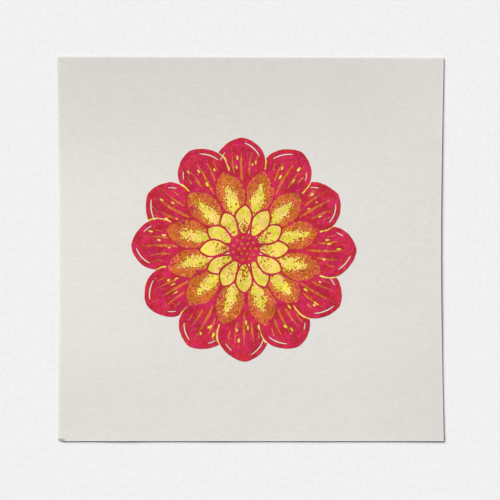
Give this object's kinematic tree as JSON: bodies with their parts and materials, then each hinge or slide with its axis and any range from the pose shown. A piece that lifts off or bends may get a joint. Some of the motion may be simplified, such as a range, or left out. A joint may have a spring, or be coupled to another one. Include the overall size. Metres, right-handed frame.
{
  "type": "art print",
  "caption": "Square sheet of heavy cotton paper with a block print of a flower head in layered inks, to be framed, mounted or laid flat.",
  "frame": {"origin": "under the middle of the sheet's bounding box, on the plane that the sheet lies on", "axes": "+Z out of the printed face, +Y towards the top of the picture, +X towards its right"},
  "size_m": [0.2032, 0.2022, 0.0011],
  "materials": {
    "cotton_paper": "matte, fine tooth",
    "yellow_ink": "dried block printing ink, low sheen",
    "orange_ink": "dried block printing ink, low sheen",
    "crimson_ink": "dried block printing ink, low sheen"
  },
  "bodies": {
    "root": {"paper_sheet": "cotton_paper", "yellow_ink": "yellow_ink", "orange_ink": "orange_ink", "crimson_ink": "crimson_ink"}
  },
  "joints": []
}
